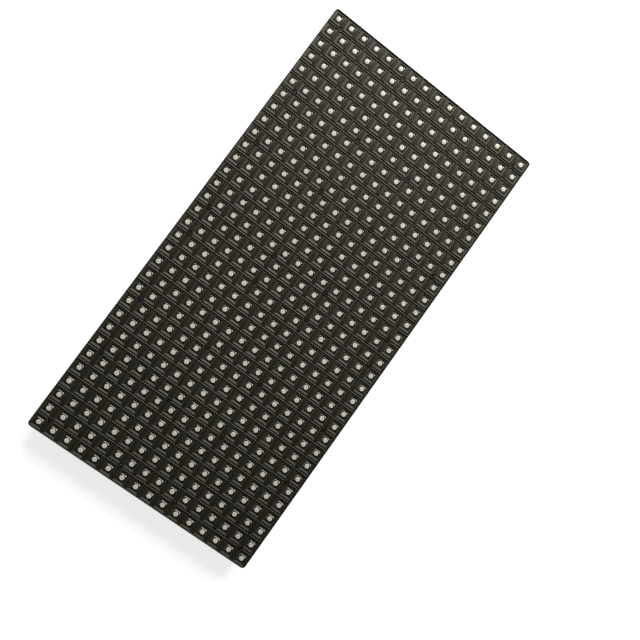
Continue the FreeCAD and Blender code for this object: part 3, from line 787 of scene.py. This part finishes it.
gel_cell = bmesh.new()
gel_edge = ring(gel_cell, -EDGE, EDGE, -EDGE, EDGE, GEL_LEVEL)
gel_flat = ring(gel_cell, -GEL_FLAT, GEL_FLAT, -GEL_FLAT, GEL_FLAT, GEL_LEVEL)
gel_hole = (LED_SHIFT - GEL_HOLE, LED_SHIFT + GEL_HOLE, -GEL_HOLE, GEL_HOLE)
gel_lip = ring(gel_cell, *gel_hole, GEL_CREEP)
gel_foot = ring(gel_cell, *gel_hole, GEL_FLOOR)
gel_base = ring(gel_cell, -EDGE, EDGE, -EDGE, EDGE, GEL_FLOOR)
for inner, outside in ((gel_flat, gel_edge), (gel_lip, gel_flat), (gel_foot, gel_lip), (gel_base, gel_foot)):
    band(gel_cell, inner, outside)
gel_sheet = new_piece("sealing_gel", gel_cell)
spread_over_leds(gel_sheet, CELL_WELD, SEALING_GEL)
gel_form = reopened(gel_sheet)
open_edges = [e for e in gel_form.edges if e.is_boundary]
for vert in {v for e in open_edges for v in e.verts}:
    vert.co.x, vert.co.y = outline_place(vert.co.x, vert.co.y, MASK_WALL + 0.02, 0.0)
bmesh.ops.bridge_loops(gel_form, edges=open_edges)
bmesh.ops.recalc_face_normals(gel_form, faces=gel_form.faces)
keep_form(gel_form, gel_sheet)
belongs(gel_sheet, "led_resin")


# Rear frame.
# One black glass-filled moulding: a flat rim round an open well, with a groove for a seal
# cord and bosses for the inserts. Its moulded edges are slightly rounded.
MERGE_WITHIN = 0.000002
FLAT_WITHIN = math.radians(0.5)
SHARP_FROM = math.radians(35.0)


def bevelled_copy(node_name, piece_name, width, finish, slot):
    """A merged copy of a CAD node with its sharp edges broken, which stands for the node."""
    form = bmesh.new()
    form.from_mesh(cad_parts[node_name].data)
    bmesh.ops.remove_doubles(form, verts=form.verts, dist=MERGE_WITHIN)
    bmesh.ops.dissolve_limit(form, angle_limit=FLAT_WITHIN, verts=form.verts, edges=form.edges)
    bmesh.ops.scale(form, vec=(1 / MM, 1 / MM, 1 / MM), verts=form.verts)
    piece = new_piece(piece_name, form, finish)
    broken = piece.modifiers.new("broken_edges", "BEVEL")
    broken.width = width * MM
    broken.segments = 2
    broken.limit_method = "ANGLE"
    broken.angle_limit = SHARP_FROM
    settle(piece)
    belongs(piece, slot, node_name)


FRAME_PLASTIC = plastic("frame_plastic", (0.020, 0.024, 0.021), (0.030, 0.034, 0.029), 0.46, grain=2200.0)
bevelled_copy("rear_frame", "frame_moulding", 0.22, FRAME_PLASTIC, "frame_plastic")


# Threaded inserts.
# Brass bushes with an M3 thread, pressed hot into the bosses until they are level with the rim.
INSERT_PLACES = at_both_sides((113.82,), (43.56,)) + at_both_sides((40.0,), (49.26,))
INSERT_RADIUS = 2.45
INSERT_DEPTH = 6.0
THREAD_CREST, THREAD_ROOT = 1.25, 1.45
THREAD_PITCH = 0.5


def metal(name, colour, tarnish, roughness):
    """A metal in two close tones, with fine scratches in its gloss."""
    finish = plastic(name, colour, tarnish, roughness, grain=900.0, patch=400.0, relief=0.00001)
    set_inputs(finish.node_tree.nodes["Principled BSDF"], {"Metallic": 1.0})
    return finish


INSERT_BRASS = metal("insert_brass", (0.70, 0.47, 0.16), (0.82, 0.60, 0.26), 0.30)
bush = bmesh.new()
thread = [(THREAD_CREST, 5.0)]
for turn in range(9):
    thread += [(THREAD_ROOT, 4.75 - THREAD_PITCH * turn), (THREAD_CREST, 4.5 - THREAD_PITCH * turn)]
bush_profile = [(0.0, 5.0)] + thread + [(1.6, 0.0), (2.3, 0.0), (INSERT_RADIUS, 0.15),
                                        (INSERT_RADIUS, INSERT_DEPTH), (0.0, INSERT_DEPTH)]
turned_form(bush, bush_profile, 24)
finished("insert_bushes", bush, [(x, y, 0.0, 0.0) for x, y in INSERT_PLACES], INSERT_BRASS,
         "insert_brass", ("threaded_inserts",))


# Circuit board.
# Glass-epoxy laminate under a black-green solder mask. The copper tracks under the mask show
# as a faint lighter pattern.
BOARD_BACK = 12.0


def solder_mask():
    """Solder mask over runs of track: lighter and slightly raised where there is copper."""
    finish = plastic("board_mask", (0.011, 0.014, 0.011), (0.017, 0.020, 0.016), 0.38,
                     grain=1800.0, patch=60.0)
    nodes, links = finish.node_tree.nodes, finish.node_tree.links
    skin = nodes["Principled BSDF"]
    place = nodes.new("ShaderNodeTexCoord")
    tracks = nodes.new("ShaderNodeTexBrick")
    set_inputs(tracks, {"Scale": 1.0, "Brick Width": 0.0127, "Row Height": 0.00127,
                        "Mortar Size": 0.00016, "Mortar Smooth": 0.3})
    links.new(place.outputs["Object"], tracks.inputs["Vector"])
    tinted(finish, tracks.outputs["Fac"], (0.021, 0.027, 0.021))
    raised = nodes.new("ShaderNodeBump")
    set_inputs(raised, {"Distance": 0.00003, "Strength": 0.5})
    links.new(tracks.outputs["Fac"], raised.inputs["Height"])
    links.new(skin.inputs["Normal"].links[0].from_socket, raised.inputs["Normal"])
    links.new(raised.outputs["Normal"], skin.inputs["Normal"])
    return finish


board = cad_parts["circuit_board"]
board.data.materials.clear()
board.data.materials.append(solder_mask())


# Headers.
# Black glass-filled shrouds, open at the end away from the board, with a key slot towards the
# middle. Their gold-flashed pins turn out under the shroud into leads soldered to the board.
def under_board(places, turn=0.0):
    """Places on the board's back."""
    return [(x, y, BOARD_BACK, turn) for x, y in places]


HEADER_X = 94.5
HEADER_PLACES = under_board([(-HEADER_X, 0.0)]) + under_board([(HEADER_X, 0.0)], 180.0)
HEADER_PITCH = 2.54
HEADER_PLASTIC = plastic("header_plastic", (0.008, 0.008, 0.008), (0.014, 0.014, 0.013), 0.36, grain=2000.0)
PIN_METAL = metal("contact_metal", (0.72, 0.64, 0.44), (0.82, 0.76, 0.60), 0.26)
TIN = metal("tinned_leads", (0.72, 0.70, 0.64), (0.82, 0.80, 0.75), 0.34)
for side in ("input", "output"):
    bevelled_copy(side + "_header_housing", side + "_header_shroud", 0.14, HEADER_PLASTIC, "header_plastic")


def square_post(form, x, y, width, low, high, point):
    """A square post up to the board, with a blunt point at its free end."""
    half, tip = width / 2, width * 0.22
    rings = [ring(form, x - r, x + r, y - r, y + r, z)
             for z, r in ((low, tip), (low + point, half), (high, half))]
    band(form, rings[0], rings[1])
    band(form, rings[1], rings[2])
    form.faces.new(list(reversed(rings[0])))
    form.faces.new(rings[2])


def bent_lead(form, path, width, thickness, y, side):
    """A flat lead bent along (x, z) points, standing out on the plus or minus X side."""
    rings = []
    for k, (x, z) in enumerate(path):
        before, after = path[max(k - 1, 0)], path[min(k + 1, len(path) - 1)]
        run = Vector((after[0] - before[0], after[1] - before[1])).normalized()
        off_x, off_z = -run.y * thickness / 2, run.x * thickness / 2
        rings.append([form.verts.new((side * (x + a * off_x), y + b * width / 2, z + a * off_z))
                      for a, b in ((-1, -1), (1, -1), (1, 1), (-1, 1))])
    faces = [form.faces.new(rings[-1]), form.faces.new(list(reversed(rings[0])))]
    for near, far in zip(rings, rings[1:]):
        faces += band(form, near, far)
    return faces


def flat_plate(form, outline, low, high):
    """A thin plate with the given outline, closed all round."""
    lower = [form.verts.new((x, y, low)) for x, y in outline]
    upper = [form.verts.new((x, y, high)) for x, y in outline]
    sides = band(form, lower, upper)
    return sides + [form.faces.new(list(reversed(lower))), form.faces.new(upper)]


def rectangle(x, y, along, across):
    """Corners of a rectangle round a centre."""
    return [(x + a * along / 2, y + b * across / 2) for a, b in ((-1, -1), (1, -1), (1, 1), (-1, 1))]


posts = bmesh.new()
for way in range(8):
    for x in (-HEADER_PITCH / 2, HEADER_PITCH / 2):
        square_post(posts, x, (way - 3.5) * HEADER_PITCH, 0.64, -7.8, -0.05, 0.5)
finished("header_pins", posts, HEADER_PLACES, PIN_METAL, "contact_metal",
         ("input_header_contacts", "output_header_contacts"))

leads = bmesh.new()
for way in range(8):
    for side in (-1, 1):
        y = (way - 3.5) * HEADER_PITCH
        bent_lead(leads, ((4.3, -0.85), (5.1, -0.85), (5.5, -0.18), (7.0, -0.18)), 0.64, 0.3, y, side)
        flat_plate(leads, rectangle(side * 6.3, y, 2.2, 1.1), -0.04, 0.0)
finished("header_leads", leads, HEADER_PLACES, TIN, "contact_metal")


# Power connector.
# A four-way header in natural nylon with a friction wall, and four square tinned pins.
NYLON = plastic("connector_nylon", (0.70, 0.68, 0.60), (0.78, 0.76, 0.69), 0.42, grain=1500.0)
POWER_PITCH = 3.96
bevelled_copy("power_connector", "power_header", 0.25, NYLON, "connector_nylon")
posts = bmesh.new()
for way in range(4):
    square_post(posts, (way - 1.5) * POWER_PITCH, 0.0, 1.14, -8.4, -0.05, 0.7)
finished("power_header_pins", posts, under_board([(0.0, 0.0)]), TIN, "contact_metal", ("power_pins",))


# Chips.
# Black epoxy packages with leaning sides, a dimple at lead one and bent tinned leads, soldered
# to bare pads on the board's back.
DRIVER_X, DRIVER_Y = 61.0, (7.9, 23.4, 38.9)
CHIP_STAND_OFF = 0.12
CHIP_DRAFT = 0.12
DIMPLE_RADIUS, DIMPLE_IN, DIMPLE_DEPTH = 0.32, 0.95, 0.07
LEAD_THICKNESS = 0.18
LEAD_FOOT = -0.15
PAD_LENGTH = 1.0
EPOXY = plastic("chip_epoxy", (0.013, 0.0135, 0.013), (0.020, 0.020, 0.019), 0.50, grain=4000.0)


def chip_form(length, width, height, count, pitch, lead_width, reach):
    """A chip that hangs from the board: its body, its leads on both long sides and their pads."""
    form = bmesh.new()
    second = form.faces.layers.bool.new("second")
    middle = -(height + CHIP_STAND_OFF) / 2
    rings = [ring(form, d - width / 2, width / 2 - d, d - length / 2, length / 2 - d, z)
             for z, d in ((-height, CHIP_DRAFT), (middle, 0.0), (-CHIP_STAND_OFF, CHIP_DRAFT))]
    band(form, rings[0], rings[1])
    band(form, rings[1], rings[2])
    form.faces.new(rings[2])
    spot = (DIMPLE_IN - width / 2, DIMPLE_IN - length / 2)
    circles = [circle(form, *spot, DIMPLE_RADIUS, -height, 12),
               circle(form, *spot, DIMPLE_RADIUS * 0.85, DIMPLE_DEPTH - height, 12)]
    band(form, *circles)
    form.faces.new(circles[1])
    edges = [form.edges.get((loop[k - 1], loop[k]))
             for loop in (rings[0], circles[0]) for k in range(len(loop))]
    bmesh.ops.triangle_fill(form, use_beauty=True, edges=edges)
    path = ((width / 2 - 0.1, middle), (width / 2 + 0.25, middle),
            (width / 2 + 0.45, LEAD_FOOT), (reach / 2, LEAD_FOOT))
    for k in range(count):
        y = (k - (count - 1) / 2) * pitch
        for side in (-1, 1):
            metal_faces = bent_lead(form, path, lead_width, LEAD_THICKNESS, y, side)
            pad = rectangle(side * (reach / 2 - 0.1), y, PAD_LENGTH, lead_width * 1.25)
            metal_faces += flat_plate(form, pad, -0.05, 0.0)
            for face in metal_faces:
                face[second] = True
    return form


# The sizes are length, width, height, leads on a side, lead pitch, lead width and overall reach
for name, node_name, sizes, places, turn in (
        ("driver_packages", "driver_chips", (8.65, 3.9, 1.5, 12, 0.635, 0.26, 6.4),
         at_both_sides((DRIVER_X,), DRIVER_Y), 0.0),
        ("buffer_packages", "buffer_chips", (12.8, 7.5, 2.3, 10, 1.27, 0.42, 10.3),
         [(-77.5, 27.0), (77.5, 27.0)], 0.0),
        ("decoder_package", "row_decoder_chip", (9.9, 3.9, 1.6, 8, 1.27, 0.42, 6.0),
         [(0.0, 22.0)], 90.0),
        ("switch_packages", "row_switch_chips", (4.9, 3.9, 1.6, 4, 1.27, 0.42, 6.0),
         [(x, 34.0) for x in (-18.0, -6.0, 6.0, 18.0)], 90.0)):
    finished(name, chip_form(*sizes), under_board(places, turn), EPOXY, "chip_epoxy", (node_name,), TIN)


# Chip capacitors and resistors.
# Tiny ceramic blocks with tinned ends: the capacitors sandy brown, the resistors black.
def chip_block(height, body_inset):
    """A block 1.6 by 0.8 mm with a metal cap on each end, soldered to two pads."""
    form = bmesh.new()
    second = form.faces.layers.bool.new("second")
    length, width, cap = 1.6, 0.8, 0.32
    body = rectangle(0.0, 0.0, length - 2 * cap + 0.1, width - 2 * body_inset)
    flat_plate(form, body, body_inset - height, -0.02)
    for side in (-1, 1):
        ends = flat_plate(form, rectangle(side * (length - cap) / 2, 0.0, cap, width), -height, -0.01)
        ends += flat_plate(form, rectangle(side * 0.85, 0.0, 0.7, 0.95), -0.05, 0.0)
        for face in ends:
            face[second] = True
    return form


CERAMIC = plastic("capacitor_ceramic", (0.36, 0.25, 0.15), (0.44, 0.32, 0.20), 0.45, grain=6000.0)
RESISTOR = plastic("resistor_body", (0.012, 0.012, 0.014), (0.020, 0.020, 0.022), 0.30, grain=6000.0)
for name, node_name, shift, height, inset, finish, slot in (
        ("capacitor_blocks", "chip_capacitors", -6.6, 0.7, 0.04, CERAMIC, "capacitor_ceramic"),
        ("resistor_blocks", "chip_resistors", -9.2, 0.5, 0.03, RESISTOR, "resistor_body")):
    spots = [(x + shift, y) for x, y in at_both_sides((DRIVER_X,), DRIVER_Y)]
    finished(name, chip_block(height, inset), under_board(spots), finish, slot, (node_name,), TIN)


# Smoothing capacitors.
# Aluminium cans with a rolled neck and a three-armed vent score, each on a black moulded base
# with two cut corners and two tinned tabs. The printed segment marks the negative side, and the
# vent score's arms are drawn as dark strips of painted shade.
CAN_X = 20.0
CAN_PLACES = under_board([(-CAN_X, 0.0), (CAN_X, 0.0)])
BASE_PLASTIC = plastic("capacitor_base_plastic", (0.010, 0.010, 0.010), (0.017, 0.017, 0.016), 0.44)
CAN_METAL = metal("capacitor_aluminium", (0.66, 0.67, 0.68), (0.76, 0.77, 0.78), 0.24)
CAN_PRINT_AND_GROOVE_SHADE = plastic("can_print", (0.02, 0.02, 0.03), (0.03, 0.03, 0.04), 0.4)

base = bmesh.new()
second = base.faces.layers.bool.new("second")
flat_plate(base, ((-4.1, -4.1), (2.6, -4.1), (4.1, -2.6), (4.1, 2.6), (2.6, 4.1), (-4.1, 4.1)), -1.55, -0.05)
for side in (-1, 1):
    for face in flat_plate(base, rectangle(side * 3.2, 0.0, 3.8, 0.8), -0.3, 0.0):
        face[second] = True
finished("can_bases", base, CAN_PLACES, BASE_PLASTIC, "capacitor_base_plastic", ("capacitor_bases",), TIN)

can = bmesh.new()
closed_end = [(0.0, -8.6), (3.3, -8.6), (3.7, -8.5), (3.92, -8.25), (3.95, -7.9), (3.95, -3.3)]
rolled_neck = [(3.9, -3.05), (3.6, -2.8), (3.6, -2.6), (3.9, -2.35), (3.95, -2.1)]
turned_form(can, closed_end + rolled_neck + [(3.85, -1.7), (3.6, -1.6), (0.0, -1.6)], 40)
for face in can.faces:
    face.smooth = len(face.verts) == 4
finished("can_bodies", can, CAN_PLACES, CAN_METAL, "capacitor_aluminium", ("capacitor_cans",))

segment = bmesh.new()
arc = [(3.25 * math.cos(a), 3.25 * math.sin(a)) for a in (math.radians(125 + 11 * k) for k in range(11))]
flat_plate(segment, arc, -8.63, -8.58)
# The vent's three arms: dark strips of painted shade where the scored grooves lie
for turn in range(3):
    angle = math.tau * turn / 3 + 0.35
    mark = [(x * math.cos(angle) - y * math.sin(angle), x * math.sin(angle) + y * math.cos(angle))
            for x, y in rectangle(0.75, 0.0, 1.5, 0.09)]
    flat_plate(segment, mark, -8.62, -8.58)
finished("can_marks", segment, CAN_PLACES, CAN_PRINT_AND_GROOVE_SHADE, "capacitor_aluminium")


# Screw tips.
# The mask's screws come through the board into the well with their threaded points showing.
tip = bmesh.new()
threads = [(0.0, -2.6), (0.25, -2.35)]
for turn in range(4):
    threads += [(0.62 + 0.08 * turn, -2.1 + 0.5 * turn), (0.85 + 0.05 * turn, -1.85 + 0.5 * turn)]
turned_form(tip, threads + [(0.8, 0.1), (0.0, 0.1)], 14)
TIP_STEEL = metal("tip_steel", (0.30, 0.29, 0.27), (0.42, 0.41, 0.38), 0.32)
finished("screw_tips", tip, under_board(at_both_sides(SCREW_X[:3], SCREW_Y[:1])), TIP_STEEL, "insert_brass")


# Printed marks on the board.
# Cream ink: the arrow that shows the way the signal runs, and plain strokes beside the chips,
# with no words.
INK = plastic("printed_ink", (0.55, 0.50, 0.38), (0.66, 0.61, 0.48), 0.50, grain=5000.0)
ARROW_AT = (-93.75, -22.0)


def rounded_off(outline, offset, segments, sharp=()):
    """The outline with its corners rounded off, apart from the sharp ones."""
    form = bmesh.new()
    corners = [form.verts.new((x, y, 0.0)) for x, y in outline]
    form.faces.new(corners)
    blunt = [vert for vert, corner in zip(corners, outline) if corner not in sharp]
    bmesh.ops.bevel(form, geom=blunt, offset=offset, segments=segments, profile=0.5, affect="VERTICES")
    places = [(v.co.x, v.co.y) for v in next(iter(form.faces)).verts]
    form.free()
    return places


arrow_half = ((10.35, 1.55), (3.74, 1.55), (5.44, 3.30), (3.25, 5.49))
arrow_outline = list(arrow_half) + [(-2.19, 0.0)] + [(x, -y) for x, y in reversed(arrow_half)]
arrow = bmesh.new()
flat_plate(arrow, rounded_off(arrow_outline, 1.45, 6, ((3.74, 1.55), (3.74, -1.55))), -0.04, 0.0)
finished("signal_arrow", arrow, under_board([ARROW_AT]), INK, "board_laminate")

# Strokes round one driver chip: (x, y, along X, along Y), with X counted outwards
DRIVER_STROKES = (
    (-1.35, 4.85, 0.7, 0.2), (-0.45, 4.85, 0.5, 0.2), (0.45, 4.85, 0.5, 0.2), (1.35, 4.85, 0.7, 0.2),
    (-7.6, 6.0, 0.25, 1.0), (-7.0, 6.0, 0.25, 1.0), (-6.4, 6.2, 0.6, 0.25), (-6.4, 5.7, 0.6, 0.25),
    (10.6, 6.0, 0.25, 1.2), (11.1, 6.5, 0.7, 0.22), (11.1, 5.5, 0.7, 0.22), (12.4, 6.0, 0.9, 0.22),
    (13.2, 6.0, 0.25, 1.2), (15.0, 6.9, 0.25, 0.9), (15.5, 6.9, 0.25, 0.9), (16.2, 6.9, 0.7, 0.22),
    (15.0, 5.4, 0.25, 0.9), (15.6, 5.4, 0.6, 0.22), (16.3, 5.4, 0.25, 0.9), (17.0, 6.2, 0.25, 0.9),
    (18.9, 6.0, 0.25, 1.0), (19.4, 6.0, 0.5, 0.22), (19.9, 6.0, 0.25, 1.0), (20.5, 6.0, 0.25, 1.0))
marks = bmesh.new()
for x, y in at_both_sides((DRIVER_X,), DRIVER_Y):
    outwards = math.copysign(1.0, x)
    for ahead, beside, along, across in DRIVER_STROKES:
        if y != DRIVER_Y[1] or ahead < 10.0:
            flat_plate(marks, rectangle(x + outwards * ahead, y + beside, along, across), -0.03, 0.0)
finished("printed_strokes", marks, under_board([(0.0, 0.0)]), INK, "board_laminate")


# Label.
# A blank yellow paper label, stuck on by hand a little askew, with a paler rim round its edge.
LABEL_PAPER = plastic("label_paper", (0.56, 0.33, 0.015), (0.64, 0.40, 0.03), 0.55, grain=4000.0, patch=120.0)
LABEL_EDGE = plastic("label_edge", (0.70, 0.52, 0.14), (0.78, 0.62, 0.24), 0.60, grain=4000.0)
label_edge = rounded_off(rectangle(0.0, 0.0, 18.4, 10.0), 1.5, 5)
label = bmesh.new()
second = label.faces.layers.bool.new("second")
low, high, inner = [[label.verts.new((x * part, y * part, z)) for x, y in label_edge]
                    for part, z in ((1.0, 0.0), (1.0, -0.06), (0.94, -0.09))]
for face in band(label, low, high) + band(label, high, inner) + [label.faces.new(low)]:
    face[second] = True
label.faces.new(inner)
finished("blank_label", label, under_board([(-19.0, -30.0)], 20.0), LABEL_PAPER, "board_laminate",
         second=LABEL_EDGE)
